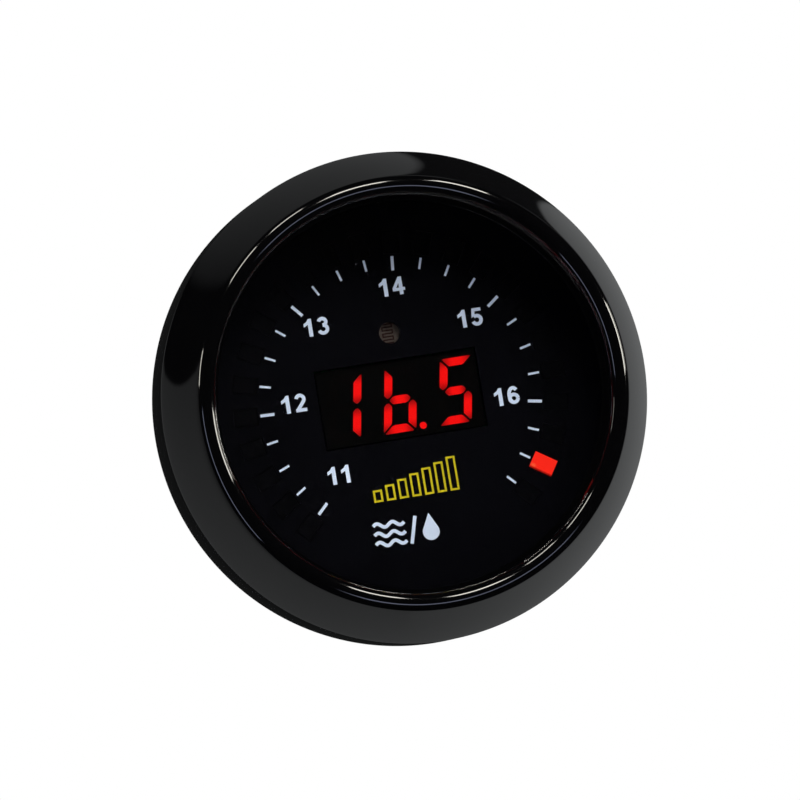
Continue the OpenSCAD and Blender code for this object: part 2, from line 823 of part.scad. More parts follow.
module housing_cup() {
    color("#1a1a1b") facing() {
        difference() {
            union() {
                rotate_extrude() cup_profile();
                at_bosses() disc(boss_r, floor_z - overrun, main_rear_z);
                at_studs() disc(stud_r * stud_boss_share, floor_z - overrun, floor_z + stud_pad_t);
                intersection() {
                    tube(dial_bore_r + fit_gap, dial_r - key_in, dial_rear_z, dial_z);
                    block([0, -dial_r], key_w, 2 * key_in + dial_seat_w, dial_rear_z, dial_z);
                }
            }
            at_bosses() {
                disc(screw_r + fit_gap, -cup_depth - overrun, main_rear_z + overrun);
                disc(screw_r * head_d_share + fit_gap,
                     -cup_depth - overrun, -cup_depth + head_t + head_sink);
            }
            at_studs() disc(neck_r + run_gap, -cup_depth - overrun, floor_z + stud_pad_t + overrun);
            socket_opening(POWER_SHARE * board_r, POWER_WAYS);
            socket_opening(SENSOR_SHARE * board_r, SENSOR_WAYS);
            translate(SELECTOR_SHARE * board_r)
                disc(selector_r + selector_hole_gap, -cup_depth - overrun, floor_z + overrun);
        }
    }
}

module mounting_studs() {
    seat = floor_z + stud_pad_t;
    tip = -cup_depth - stud_len;
    color("#c4c7c9") facing() at_studs() {
        hexagon(stud_d * stud_head_af_share, seat, seat + stud_head_t);
        rotate_extrude() polygon([
            [0, tip], [stud_r - stud_tip, tip], [stud_r, tip + stud_tip], [stud_r, -cup_depth - neck_out],
            [neck_r, -cup_depth - neck_out], [neck_r, seat + overrun], [0, seat + overrun]]);
    }
}

module case_screws() {
    head_z = -cup_depth + head_sink;
    color("#b5b7b9") facing() at_bosses() difference() {
        union() {
            disc(screw_r * head_d_share, head_z, head_z + head_t);
            disc(screw_r, head_z + head_t, main_front_z + screw_reach);
        }
        for (a = [0, 90]) rotate(a)
            block([0, 0], slot_w, 2 * screw_r, head_z - overrun, head_z + slot_t);
    }
}

bezel();
lens();
lens_seal();
dial_face();
dial_marks();
light_pipe_ring();
digit_module();
lit_segments();
unlit_segments();
light_sensor();
light_guide();
scale_leds();
digit_pins();
display_board();
led_drivers();
board_header();
header_pins();
board_spacers();
main_board();
microcontroller();
sensor_controller();
voltage_regulator();
capacitors();
inductor();
crystal();
protection_diode();
chip_resistors();
power_socket();
power_pins();
sensor_socket();
sensor_pins();
selector_body();
selector_rotor();
housing_cup();
mounting_studs();
case_screws();
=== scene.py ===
"""Round panel gauge: the looks of its pieces, and the small studio that it is seen in.

Pieces are drawn with the dial facing up Z, in millimetres, and fit() turns them to face -Y.
"""

import json
import math

import bpy
from mathutils import Matrix, Vector


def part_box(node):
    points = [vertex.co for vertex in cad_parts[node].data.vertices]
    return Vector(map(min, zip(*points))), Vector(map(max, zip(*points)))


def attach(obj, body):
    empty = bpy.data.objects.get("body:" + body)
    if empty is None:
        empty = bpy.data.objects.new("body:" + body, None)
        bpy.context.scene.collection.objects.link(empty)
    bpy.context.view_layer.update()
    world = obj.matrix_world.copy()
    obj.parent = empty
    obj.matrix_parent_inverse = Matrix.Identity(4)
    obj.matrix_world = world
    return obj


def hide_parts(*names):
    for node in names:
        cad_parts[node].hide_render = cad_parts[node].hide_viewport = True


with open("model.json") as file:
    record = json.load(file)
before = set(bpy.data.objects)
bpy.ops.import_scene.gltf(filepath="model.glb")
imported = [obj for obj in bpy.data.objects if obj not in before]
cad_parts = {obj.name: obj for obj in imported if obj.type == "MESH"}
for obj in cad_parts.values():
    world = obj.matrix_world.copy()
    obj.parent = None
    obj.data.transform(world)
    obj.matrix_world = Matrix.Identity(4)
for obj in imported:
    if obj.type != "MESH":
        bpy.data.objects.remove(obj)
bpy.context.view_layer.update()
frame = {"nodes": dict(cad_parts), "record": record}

MM = 0.001
WELD = MM / 1000
FACING_TURN = math.radians(90)
FACING = Matrix.Rotation(FACING_TURN, 4, "X")


def plan(node):
    """Lowest and highest corners of a CAD node in millimetres, with the dial facing up Z."""
    low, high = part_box(node)
    return Vector((low.x, low.z, -high.y)) / MM, Vector((high.x, high.z, -low.y)) / MM


# Sizes in millimetres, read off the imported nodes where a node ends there
BEZEL_R = plan("bezel")[1].x
BEZEL_REAR = plan("bezel")[0].z
LENS_LOW, LENS_HIGH = plan("lens")[0].z, plan("lens")[1].z
LENS_R = plan("lens")[1].x
SEAL_ROOM = 0.1
SHOULDER = plan("lens_seal")[1].z + SEAL_ROOM
DIAL_FACE = plan("dial_face")[1].z
PAD_FACE = plan("light_pipe_ring")[1].z
SENSOR_FACE = plan("light_sensor")[1].z
SENSOR_Y = (plan("light_sensor")[0].y + plan("light_sensor")[1].y) / 2
SEGMENT_REAR, SEGMENT_FACE = plan("lit_segments")[0].z, plan("lit_segments")[1].z

# The bezel's section: heights are over the panel's face, and the ledge is at the wall's foot
BEZEL_SIDE = 9.0
CONE_IN = 3.6
LIP_RISE = 3.2
LIP_ROUND = 1.2
MOUTH_LEAN = math.radians(4)
LEDGE = SHOULDER + 0.3
LEDGE_R = 23.75
BEZEL_EDGE = 0.5
CONE_CROWN = math.radians(3)
SKIRT_R = BEZEL_R - 1.7
THREAD_R = 27.85
THREAD_END = LENS_LOW + 0.1
FLANGE_CLEAR = 1.9
LENS_ROOM = 0.15
EDGE_STEPS, CROWN_STEPS, LIP_STEPS = 6, 12, 40
BEZEL_STEPS, BEZEL_SMOOTH = 256, 25
LENS_STEPS, LENS_EDGE, LENS_EDGE_STEPS = 192, 0.3, 3

# The scale
SCALE_COUNT = 24
SCALE_SWEEP = 270
PAD_INNER, PAD_OUTER = 17.9, 20.9
PAD_W = 2.1
LIT_PAD, LIT_PAD_T = 22, 0.06
PRINT_T = 0.05

# The seven-segment digits
DIGIT_H, DIGIT_W, BAR_W = 8.1, 4.1, 1.0
DIGIT_SPACING = 7.0
SLANT = math.tan(math.radians(10))
BAR_GAP = 0.2
POINT_D, POINT_GAP, POINT_STEPS = 0.86, 0.44, 32
LIT_BARS = ("bc", "cdefg", "acdfg")
BAR_ROUND, CORNER_STEPS = 0.26, 3


# Modelling


def piece_named(name):
    """The new primitive as a named piece, with all of it selected in edit mode."""
    piece = bpy.context.active_object
    piece.name = piece.data.name = name
    bpy.ops.object.mode_set(mode="EDIT")
    bpy.ops.mesh.select_all(action="SELECT")
    return piece


def fresh():
    """Leaves nothing selected, because an operator acts on all that is."""
    if bpy.context.mode != "OBJECT":
        bpy.ops.object.mode_set(mode="OBJECT")
    bpy.ops.object.select_all(action="DESELECT")


def picked(*pieces):
    """Selects these pieces and nothing else, with the first one active."""
    fresh()
    for piece in pieces:
        piece.select_set(True)
    bpy.context.view_layer.objects.active = pieces[0]


def welded():
    """Merges the points of the open mesh that coincide, and leaves all of it selected."""
    bpy.ops.mesh.select_all(action="SELECT")
    bpy.ops.mesh.remove_doubles(threshold=WELD)


def direction(angle):
    """Unit vector in a section; 0 points outwards and a quarter turn points up."""
    return Vector((math.cos(angle), math.sin(angle)))


def arc(centre, radius, start, end, steps, squash=1.0):
    """Points of an arc, or of an ellipse whose height is squashed."""
    turns = [start + (end - start) * i / steps for i in range(steps + 1)]
    return [
        (centre[0] + radius * math.cos(a), centre[1] + radius * squash * math.sin(a)) for a in turns
    ]


def spun(name, section, steps):
    """A closed section of (radius, height) points, drawn point by point and spun round the axis."""
    fresh()
    bpy.ops.mesh.primitive_plane_add(size=MM)
    piece = piece_named(name)
    bpy.ops.mesh.merge(type="CENTER")
    bpy.ops.transform.translate(value=Vector((section[0][0], 0, section[0][1])) * MM)
    for here, there in zip(section, section[1:] + section[:1]):
        step = Vector((there[0] - here[0], 0, there[1] - here[1])) * MM
        bpy.ops.mesh.extrude_region_move(TRANSFORM_OT_translate={"value": step})
    welded()
    bpy.ops.mesh.spin(steps=steps, angle=2 * math.pi, center=(0, 0, 0), axis=(0, 0, 1))
    welded()
    bpy.ops.mesh.normals_make_consistent(inside=False)
    fresh()
    return piece


def rounded(piece, width, segments, limit=30):
    """Bevels the edges sharper than a limit; flat faces stay flat and the rounds run into them."""
    smooth(piece, limit)
    bevel = piece.modifiers.new("edge", "BEVEL")
    bevel.width = width * MM
    bevel.segments = segments
    bevel.limit_method = "ANGLE"
    bevel.angle_limit = math.radians(limit)
    bevel.harden_normals = True
    bpy.ops.object.modifier_apply(modifier=bevel.name)


def smooth(piece, limit):
    """Smooth shading that leaves edges sharper than a limit as they are."""
    picked(piece)
    bpy.ops.object.shade_smooth_by_angle(angle=math.radians(limit))


def plate(name, outline, low, high, corner=0.0):
    """A flat plate with an outline of (x, y) points, its corners rounded in plan."""
    fresh()
    bpy.ops.mesh.primitive_circle_add(vertices=len(outline), radius=MM, fill_type="NGON")
    piece = piece_named(name)
    bpy.ops.object.mode_set(mode="OBJECT")
    for vertex, point in zip(piece.data.vertices, outline):
        vertex.co = Vector((point[0], point[1], low)) * MM
    bpy.ops.object.mode_set(mode="EDIT")
    bpy.ops.mesh.select_all(action="SELECT")
    if corner:
        bpy.ops.mesh.bevel(affect="VERTICES", offset=corner * MM, segments=CORNER_STEPS)
        bpy.ops.mesh.select_all(action="SELECT")
    bpy.ops.mesh.extrude_region_move(TRANSFORM_OT_translate={"value": (0, 0, (high - low) * MM)})
    bpy.ops.mesh.select_all(action="SELECT")
    bpy.ops.mesh.normals_make_consistent(inside=False)
    fresh()
    return piece


def joined(name, pieces):
    """Several pieces made one."""
    picked(*pieces)
    bpy.ops.object.join()
    pieces[0].name = pieces[0].data.name = name
    return pieces[0]


def map_plan(piece, start, along, length, width):
    """Gives a piece a UV map: U from 0 to 1 along it, V from 0 to 1 across it."""
    across = Vector((-along[1], along[0]))
    uv = piece.data.uv_layers.active or piece.data.uv_layers.new(name="UVMap")
    for loop in piece.data.loops:
        place = piece.data.vertices[loop.vertex_index].co.xy / MM - Vector(start)
        u, v = place.dot(Vector(along)) / length, place.dot(across) / width + 0.5
        uv.data[loop.index].uv = (u, v)


def hand_over(piece, body, slot, nodes, finish=None):
    """Gives a piece its finish and its body, in place of the nodes that it stands for."""
    fresh()
    piece.data.materials.clear()
    piece.data.materials.append(finish or FINISHES[slot])
    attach(piece, body)
    if nodes:
        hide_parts(*nodes)


def fit(piece, body, slot, *nodes, finish=None):
    """Turns a finished piece to face the front and hands it over."""
    piece.data.transform(FACING)
    hand_over(piece, body, slot, nodes, finish)


# Materials


def colour(code):
    """A written sRGB colour as the linear one that the shaders take."""
    parts = [int(code[i : i + 2], 16) / 255 for i in (1, 3, 5)]
    return [p / 12.92 if p <= 0.04045 else ((p + 0.055) / 1.055) ** 2.4 for p in parts] + [1.0]


def add_node(tree, kind, settings=None, links=None):
    """Adds a node; a setting is an input's value by name or number, or else a property."""
    node = tree.nodes.new("ShaderNode" + kind)
    for key, value in (settings or {}).items():
        if isinstance(key, str) and key in node.bl_rna.properties:
            setattr(node, key, value)
        else:
            node.inputs[key].default_value = value
    for key, source in (links or {}).items():
        tree.links.new(source, node.inputs[key])
    return node


def new_material(name, settings):
    """A material with one Principled surface, and what its nodes hang on."""
    material = bpy.data.materials.new(name)
    material.use_nodes = True
    tree = material.node_tree
    surface = tree.nodes["Principled BSDF"]
    for key, value in settings.items():
        surface.inputs[key].default_value = value
    return material, tree, surface


# Matt blacks under the lens: next to no gloss of their own
DULL = {"Specular IOR Level": 0.03}


def skin(name, tones, roughness, grain, depth, settings, *, swing, patch, stretch=None):
    """Two near tones in wide patches, and a fine grain in the gloss and in the height.

    Grain and patch are sizes of the noise in millimetres, and depth is the grain's full height.
    Swing is how far the roughness strays to both sides, and stretch draws the grain out.
    """
    material, tree, surface = new_material(name, settings)
    place = add_node(tree, "TexCoord").outputs["Object"]
    drawn = place
    if stretch:
        drawn = add_node(tree, "Mapping", {"Scale": stretch}, {"Vector": place}).outputs["Vector"]
    wide, fine = (
        add_node(
            tree,
            "TexNoise",
            {"Scale": 1 / (size * MM), "Detail": detail, "Roughness": rough},
            {"Vector": source},
        ).outputs["Fac"]
        for size, detail, rough, source in ((patch, 2.0, 0.5, place), (grain, 3.0, 0.6, drawn))
    )
    tone = add_node(
        tree, "Mix", {"data_type": "RGBA", 6: colour(tones[0]), 7: colour(tones[1])}, {0: wide}
    )
    gloss = add_node(
        tree,
        "MapRange",
        {"To Min": roughness * (1 - swing), "To Max": roughness * (1 + swing)},
        {"Value": fine},
    )
    bump = add_node(tree, "Bump", {"Strength": 1.0, "Distance": depth * MM}, {"Height": fine})
    tree.links.new(tone.outputs[2], surface.inputs["Base Color"])
    tree.links.new(gloss.outputs["Result"], surface.inputs["Roughness"])
    tree.links.new(bump.outputs["Normal"], surface.inputs["Normal"])
    return material


def moulded(name, first, second, roughness, grain, depth, settings=None):
    """A moulded or printed skin: near tones, a matt or gloss level and a fine even grain."""
    tones = (first, second)
    return skin(
        name, tones, roughness, grain, depth, settings or {}, swing=0.15, patch=grain * 12
    )


def metal(name, first, second, roughness, grain, depth):
    """A metal skin: the tone wanders a little and fine drawing or turning lines break the gloss."""
    tones, drawn_out = (first, second), (1.0, 0.08, 1.0)
    return skin(
        name,
        tones,
        roughness,
        grain,
        depth,
        {"Metallic": 1.0},
        swing=0.25,
        patch=grain * 20,
        stretch=drawn_out,
    )


def clear_polycarbonate():
    """Clear moulded lens: see-through with a hard dark gloss; light passes it to reach the dial."""
    material, tree, surface = new_material(
        "clear_polycarbonate",
        {"Base Color": colour("#FCFDFF"), "Roughness": 0.0, "IOR": 1.5, "Transmission Weight": 1.0},
    )
    rays = add_node(tree, "LightPath")
    passing = add_node(tree, "BsdfTransparent", {"Color": colour("#F4F6FA")})
    mixed = add_node(
        tree,
        "MixShader",
        {},
        {0: rays.outputs["Is Shadow Ray"], 1: surface.outputs[0], 2: passing.outputs[0]},
    )
    tree.links.new(mixed.outputs[0], tree.nodes["Material Output"].inputs["Surface"])
    return material


# Shares of a bar's length from its middle: where the hot red starts to fade and where it is gone
HOT_END, FADE_END = 0.12, 0.5
# Shares of the lit window's length from its inner end and of its width from its low edge: the
# middle of the orange spot, then its radius, and where the painted shade on the low edge, which
# stands in for the block's shaded low side, starts and stops to lighten
SPOT_AT, SPOT_R = (0.14, 0.20), 0.17
PAINTED_SHADE_START, PAINTED_SHADE_END = 0.02, 0.16


def glowing_resin():
    """Lit red display bars: hot in the middle, deeper red where a bar ends and the lamp fades."""
    material, tree, surface = new_material(
        "glowing_red_resin",
        {"Base Color": colour("#3A0402"), "Roughness": 0.45, "Emission Strength": 1.0, **DULL},
    )
    map_ = add_node(tree, "UVMap", {"uv_map": "UVMap"}).outputs["UV"]
    parts = add_node(tree, "SeparateXYZ", {}, {0: map_})
    centred = add_node(
        tree, "Math", {"operation": "SUBTRACT", 1: 0.5}, {0: parts.outputs["X"]}
    )
    off = add_node(tree, "Math", {"operation": "ABSOLUTE"}, {0: centred.outputs[0]})
    fade = add_node(
        tree,
        "MapRange",
        {"From Min": HOT_END, "From Max": FADE_END, "interpolation_type": "SMOOTHSTEP"},
        {"Value": off.outputs[0]},
    )
    glow = add_node(
        tree,
        "Mix",
        {"data_type": "RGBA", 6: colour("#F50B0C"), 7: colour("#8C0507")},
        {0: fade.outputs["Result"]},
    )
    tree.links.new(glow.outputs[2], surface.inputs["Emission Color"])
    return material


def glowing_window():
    """Lit scale window: even red, an orange spot over the lamp, and painted shade in a dark band on
    its low edge that stands in for the block's shaded low side.
    """
    material, tree, surface = new_material(
        "glowing_smoked_acrylic",
        {"Base Color": colour("#2A0502"), "Roughness": 0.35, "Emission Strength": 1.0, **DULL},
    )
    map_ = add_node(tree, "UVMap", {"uv_map": "UVMap"}).outputs["UV"]
    parts = add_node(tree, "SeparateXYZ", {}, {0: map_})
    from_spot = (-SPOT_AT[0], -SPOT_AT[1], 0.0)
    spot_at = add_node(tree, "Mapping", {"Location": from_spot}, {"Vector": map_})
    away = add_node(tree, "VectorMath", {"operation": "LENGTH"}, {0: spot_at.outputs["Vector"]})
    spot = add_node(
        tree,
        "MapRange",
        {"From Min": 0.0, "From Max": SPOT_R, "interpolation_type": "SMOOTHSTEP"},
        {"Value": away.outputs["Value"]},
    )
    body = add_node(
        tree,
        "Mix",
        {"data_type": "RGBA", 6: colour("#FF6038"), 7: colour("#FF281A")},
        {0: spot.outputs["Result"]},
    )
    # Painted shade: the glow darkens along the low edge, where the lit block's low side would be
    # shaded
    painted_shade = add_node(
        tree,
        "MapRange",
        {"From Min": PAINTED_SHADE_START, "From Max": PAINTED_SHADE_END, "interpolation_type": "SMOOTHSTEP"},
        {"Value": parts.outputs["Y"]},
    )
    # Deep red painted shade colour, mixed in along the low edge
    glow = add_node(
        tree,
        "Mix",
        {"data_type": "RGBA", 6: colour("#8A0603")},
        {0: painted_shade.outputs["Result"], 7: body.outputs[2]},
    )
    tree.links.new(glow.outputs[2], surface.inputs["Emission Color"])
    return material


# Spacing of the copper tracks and height of the lacquer over them, in millimetres
TRACK_PITCH, TRACK_RELIEF = 2.4, 0.03


def solder_mask():
    """Green lacquer over copper: lighter where copper runs under it."""
    material, tree, surface = new_material("green_solder_mask", {"Roughness": 0.25})
    place = add_node(tree, "TexCoord").outputs["Object"]
    turned = add_node(tree, "Mapping", {"Rotation": (FACING_TURN, 0, 0)}, {"Vector": place})
    tracks = add_node(
        tree,
        "TexBrick",
        {
            "Color1": colour("#0C5A34"),
            "Color2": colour("#0E6339"),
            "Mortar": colour("#0A3F26"),
            "Scale": 1 / (TRACK_PITCH * MM),
            "Mortar Size": 0.08,
        },
        {"Vector": turned.outputs["Vector"]},
    )
    tree.links.new(tracks.outputs["Color"], surface.inputs["Base Color"])
    bump = add_node(
        tree,
        "Bump",
        {"Strength": 1.0, "Distance": TRACK_RELIEF * MM},
        {"Height": tracks.outputs["Fac"]},
    )
    tree.links.new(bump.outputs["Normal"], surface.inputs["Normal"])
    return material


FINISHES = {
    # Gloss black enamel over the moulded ring: deep black with a clean mirror skin
    "bezel_black": moulded(
        "gloss_black_enamel", "#030304", "#050506", 0.06, 0.5, 0.0002, {"IOR": 1.5}
    ),
    # Clear polycarbonate: nothing but its own dark mirror image
    "lens_clear": clear_polycarbonate(),
    # Nitrile rubber: dull black with a soft bloom
    "seal_rubber": moulded("nitrile_rubber", "#0C0C0C", "#121211", 0.8, 0.2, 0.01, DULL),
    # Screen printed film: blue-black, dull under the lens
    "dial_black": moulded("printed_black_film", "#020205", "#030307", 0.6, 0.08, 0.001, DULL),
    # White screen ink with a cold cast, a little uneven
    "dial_print": moulded("white_screen_ink", "#C9D8F0", "#D8E4F6", 0.55, 0.12, 0.002, DULL),
    # Smoked acrylic: looks black until a lamp is lit behind it
    "smoke_plastic": moulded("smoked_acrylic", "#020204", "#030306", 0.6, 0.3, 0.001, DULL),
    # Black casting resin of the display: the flattest black of all, round the bars
    "module_black": moulded("black_display_resin", "#000000", "#010101", 0.7, 0.2, 0.002, DULL),
    # Clear resin lit from behind: the only light that the gauge gives itself
    "lit_red": glowing_resin(),
    # Tinted resin of the dark bars: nearly the black of the face round them
    "unlit_red": moulded("tinted_display_resin", "#020101", "#030101", 0.6, 0.2, 0.001, DULL),
    # Glazed ceramic of the photocell: a dim brown-grey disc
    "sensor_ceramic": moulded("glazed_ceramic", "#463A35", "#6A625B", 0.4, 0.05, 0.004, DULL),
    # Moulded ABS of the light guide: dull black, so that a lamp stays in its cell
    "guide_black": moulded("black_abs", "#060606", "#0A0A0A", 0.7, 0.15, 0.004, DULL),
    # Ceramic bodies of the lamps: small, cream and satin
    "lamp_white": moulded("lamp_ceramic", "#E2DDCB", "#F0ECDD", 0.4, 0.3, 0.002),
    # Tinned brass leads: pale grey with a soft shine
    "tinned_pin": metal("tinned_brass", "#C6C6C2", "#D8D8D2", 0.3, 0.1, 0.002),
    # Lacquered glass fibre: green, with tracks showing through
    "board_green": solder_mask(),
    # Moulded epoxy of the chips: charcoal with a fine matt grain
    "chip_black": moulded("moulded_epoxy", "#1B1B1D", "#242427", 0.6, 0.08, 0.004),
    # Gold flash on the contacts: bright yellow in the dark of a socket
    "gilt_pin": metal("gold_flash", "#D9B25E", "#E6C476", 0.25, 0.1, 0.001),
    # Turned brass: warm yellow with fine lines
    "spacer_brass": metal("turned_brass", "#C9A24A", "#D8B660", 0.28, 0.08, 0.003),
    # Drawn aluminium cans: cool and pale
    "can_aluminium": metal("drawn_aluminium", "#C9CCCF", "#DADCDE", 0.32, 0.1, 0.002),
    # Sintered ferrite: dull grey, a little gritty
    "ferrite": moulded("sintered_ferrite", "#3C3D40", "#4A4B4E", 0.7, 0.1, 0.006),
    # Nickel plate on the crystal's can: bright, with a warm cast
    "can_steel": metal("nickel_plate", "#C4C2BC", "#D2D0CA", 0.22, 0.15, 0.001),
    # Moulded nylon of the sockets: dark with a soft sheen
    "socket_black": moulded("black_nylon", "#121212", "#1A1A1A", 0.5, 0.2, 0.006),
    # Moulded thermoplastic of the switch: plain blue
    "selector_blue": moulded("blue_thermoplastic", "#123A7A", "#174488", 0.45, 0.2, 0.004),
    # Ivory nylon of the rotor: the one pale spot on the rear wall
    "rotor_white": moulded("ivory_nylon", "#E4DFCF", "#EFEBDD", 0.5, 0.2, 0.004),
    # Glass filled moulding with a fine spark grain
    "cup_black": moulded("textured_black_moulding", "#161617", "#1D1D1E", 0.55, 0.12, 0.012),
    # Zinc plated steel of the screws and studs: pale grey, satin
    "zinc_steel": metal("zinc_plated_steel", "#B9BCC0", "#D0D2D4", 0.34, 0.2, 0.002),
}

# Dark red-brown sulphide of the photocell's track
CADMIUM_TRACK = moulded("sulphide_track", "#241110", "#301A17", 0.5, 0.1, 0.001, DULL)
# Yellow screen ink, a little greenish over the black film
YELLOW_INK = moulded("yellow_screen_ink", "#C2B01A", "#CDBC22", 0.55, 0.12, 0.002, DULL)

SLOT_OF = {part["node"]: part["material_slot"] for part in frame["record"]["subparts"]}
for node_name, node in frame["nodes"].items():
    for material_slot in node.material_slots:
        material_slot.material = FINISHES[SLOT_OF[node_name]]


# Bezel, with its cone, rounded lip and screw skirt

lip_r = BEZEL_R - CONE_IN
lip_z = SHOULDER + LIP_RISE
cone_angle = math.atan2(CONE_IN, lip_z - BEZEL_SIDE)
crown_angle = cone_angle + CONE_CROWN
mouth_angle = math.pi - MOUTH_LEAN
lip_centre = Vector((lip_r, lip_z)) - LIP_ROUND * direction(cone_angle)
lip_top = lip_centre + LIP_ROUND * direction(crown_angle)
lip_inner = lip_centre + LIP_ROUND * direction(mouth_angle)
mouth_r = lip_inner.x - (lip_inner.y - LEDGE) * math.tan(MOUTH_LEAN)
# The cone is slightly crowned: an arc from the side to the lip, level with the lip where they meet
cone = lip_top - Vector((BEZEL_R, BEZEL_SIDE))
cone_turn = crown_angle - math.atan2(-cone.x, cone.y)
crown_r = cone.length / 2 / math.sin(cone_turn)
crown_centre = lip_top - crown_r * direction(crown_angle)
edge_x = BEZEL_R - BEZEL_EDGE
edge_lift = math.sqrt((crown_r - BEZEL_EDGE) ** 2 - (edge_x - crown_centre.x) ** 2)
edge_centre = Vector((edge_x, crown_centre.y + edge_lift))
edge_angle = math.atan2(edge_lift, edge_x - crown_centre.x)
bezel_section = (
    [(SKIRT_R, BEZEL_REAR)]
    + arc((edge_x, BEZEL_REAR + BEZEL_EDGE), BEZEL_EDGE, -math.pi / 2, 0, EDGE_STEPS)
    + arc(edge_centre, BEZEL_EDGE, 0, edge_angle, EDGE_STEPS)
    + arc(crown_centre, crown_r, edge_angle, crown_angle, CROWN_STEPS)[1:]
    + arc(lip_centre, LIP_ROUND, crown_angle, mouth_angle, LIP_STEPS)[1:]
    + [
        (mouth_r, LEDGE),
        (LEDGE_R, LEDGE),
        (LEDGE_R, SHOULDER),
        (LENS_R + LENS_ROOM, SHOULDER),
        (LENS_R + LENS_ROOM, THREAD_END),
        (THREAD_R, THREAD_END),
        (THREAD_R, FLANGE_CLEAR),
        (SKIRT_R, FLANGE_CLEAR),
    ]
)
bezel_ring = spun("gloss_bezel", bezel_section, BEZEL_STEPS)
smooth(bezel_ring, BEZEL_SMOOTH)
fit(bezel_ring, "bezel_ring", "bezel_black", "bezel")


# Lens

fresh()
bpy.ops.mesh.primitive_cylinder_add(
    vertices=LENS_STEPS,
    radius=LENS_R * MM,
    depth=(LENS_HIGH - LENS_LOW) * MM,
    location=(0, 0, (LENS_HIGH + LENS_LOW) / 2 * MM),
)
lens_disc = bpy.context.active_object
lens_disc.name = lens_disc.data.name = "lens_disc"
bpy.ops.object.transform_apply(location=True, rotation=True, scale=True)
rounded(lens_disc, LENS_EDGE, LENS_EDGE_STEPS)
fit(lens_disc, "lens_pack", "lens_clear", "lens")


# Bold plain figures, drawn as strokes and outlines one unit high

NUMERAL_H = 2.2
ADVANCE = 0.776
STROKE = 0.195
FIGURE_W = 0.62
# A mitre reaches no further than this cosine lets it
SHARPEST = 0.3
NUMERALS = {
    "11": (-9.14, -8.04),
    "12": (-13.36, 1.44),
    "13": (-9.04, 10.35),
    "14": (1.01, 13.8),
    "15": (10.06, 8.54),
    "16": (12.96, -1.69),
}


def rad(*degrees):
    """Degrees as radians."""
    return [math.radians(d) for d in degrees]


def ribbon(path, width):
    """Outline of a stroke of even width along a path, with square ends and mitred turns."""
    path = [Vector(p) for p in path]
    near, far = [], []
    for i, here in enumerate(path):
        into = (here - path[i - 1]).normalized() if i else (path[1] - here).normalized()
        out = (path[i + 1] - here).normalized() if i + 1 < len(path) else into
        along = (into + out).normalized()
        across = Vector((-along.y, along.x))
        reach = width / 2 / max(along.dot(into), SHARPEST)
        near.append(here + across * reach)
        far.append(here - across * reach)
    return near + far[::-1]


def bar(x0, y0, x1, y1):
    """Outline of an upright oblong between two corners."""
    return [(x0, y0), (x1, y0), (x1, y1), (x0, y1)]


FIGURES = {
    "1": [
        [
            (0.29, 0), (0.51, 0), (0.51, 1), (0.34, 1),
            (0.23, 0.85), (0.05, 0.745), (0.05, 0.56), (0.29, 0.68),
        ],
    ],
    "2": [
        ribbon(arc((0.355, 0.7), 0.215, *rad(168, -38), 14) + [(0.16, 0.12)], STROKE),
        bar(0.04, 0, 0.67, 0.185),
    ],
    "3": [
        ribbon(arc((0.34, 0.7225), 0.205, *rad(165, -90), 16, 0.89), STROKE),
        ribbon(arc((0.34, 0.3175), 0.235, *rad(90, -165), 16, 0.947), STROKE),
    ],
    "4": [
        bar(0.39, 0, 0.595, 1),
        bar(0.02, 0.22, 0.72, 0.39),
        [(0.02, 0.385), (0.23, 0.385), (0.45, 0.76), (0.45, 1), (0.4, 1)],
    ],
    "5": [
        bar(0.13, 0.82, 0.64, 1),
        [(0.13, 1), (0.31, 1), (0.25, 0.6), (0.055, 0.46)],
        ribbon(arc((0.345, 0.33), 0.235, *rad(130, -162), 18), STROKE),
    ],
    "6": [
        ribbon(arc((0.375, 0.5), 0.25, *rad(42, 240), 16, 1.62), STROKE),
        ribbon(arc((0.365, 0.315), 0.235, *rad(0, 360), 24, 0.93), STROKE),
    ],
}


def united(name, pieces):
    """Overlapping pieces cut into one skin."""
    first = pieces[0]
    for other in pieces[1:]:
        picked(first)
        union = first.modifiers.new("union", "BOOLEAN")
        union.operation = "UNION"
        union.solver = "EXACT"
        union.object = other
        bpy.ops.object.modifier_apply(modifier=union.name)
        bpy.data.objects.remove(other)
    first.name = first.data.name = name
    return first


def printed(name, outlines, scale=1.0, shift=(0, 0)):
    """Ink on the dial, as thick as the marks, from overlapping outlines."""
    pieces = [
        plate(
            f"{name}_{i}",
            [(x * scale + shift[0], y * scale + shift[1]) for x, y in outline],
            DIAL_FACE,
            DIAL_FACE + PRINT_T,
        )
        for i, outline in enumerate(outlines)
    ]
    return united(name, pieces)


def numeral(text, place):
    """Figures side by side, centred on their place."""
    width = (ADVANCE * (len(text) - 1) + FIGURE_W) * NUMERAL_H
    corner = (place[0] - width / 2, place[1] - NUMERAL_H / 2)
    return [
        printed(
            f"figure_{text}_{i}",
            FIGURES[figure],
            NUMERAL_H,
            (corner[0] + i * ADVANCE * NUMERAL_H, corner[1]),
        )
        for i, figure in enumerate(text)
    ]


numerals = joined(
    "dial_numerals",
    [figure for text, place in NUMERALS.items() for figure in numeral(text, place)],
)
fit(numerals, "housing", "dial_print")


# Plain signs below the display: a rising row of bars, then air and fuel as waves and a drop

LEVEL_COUNT = 7
LEVEL_W, LEVEL_GAP, LEVEL_LINE = 1.15, 0.45, 0.24
LEVEL_LOW, LEVEL_HIGH = 1.5, 4.2
LEVEL_BASE = -12.1
SIGN_Y = -16.1
WAVE_LENGTH, WAVE_RISE, WAVE_SPACING, WAVE_LINE = 3.9, 0.26, 1.15, 0.42
WAVE_STEPS, WAVE_TURN = 24, 4 * math.pi
SLASH_GAP, SLASH_LEAN, SLASH_HALF = 1.0, 0.45, 1.65
DROP_R, DROP_GAP, DROP_LOW, DROP_TIP = 1.05, 1.1, 0.55, 2.2
DROP_ARC, DROP_STEPS = rad(148, 392), 28


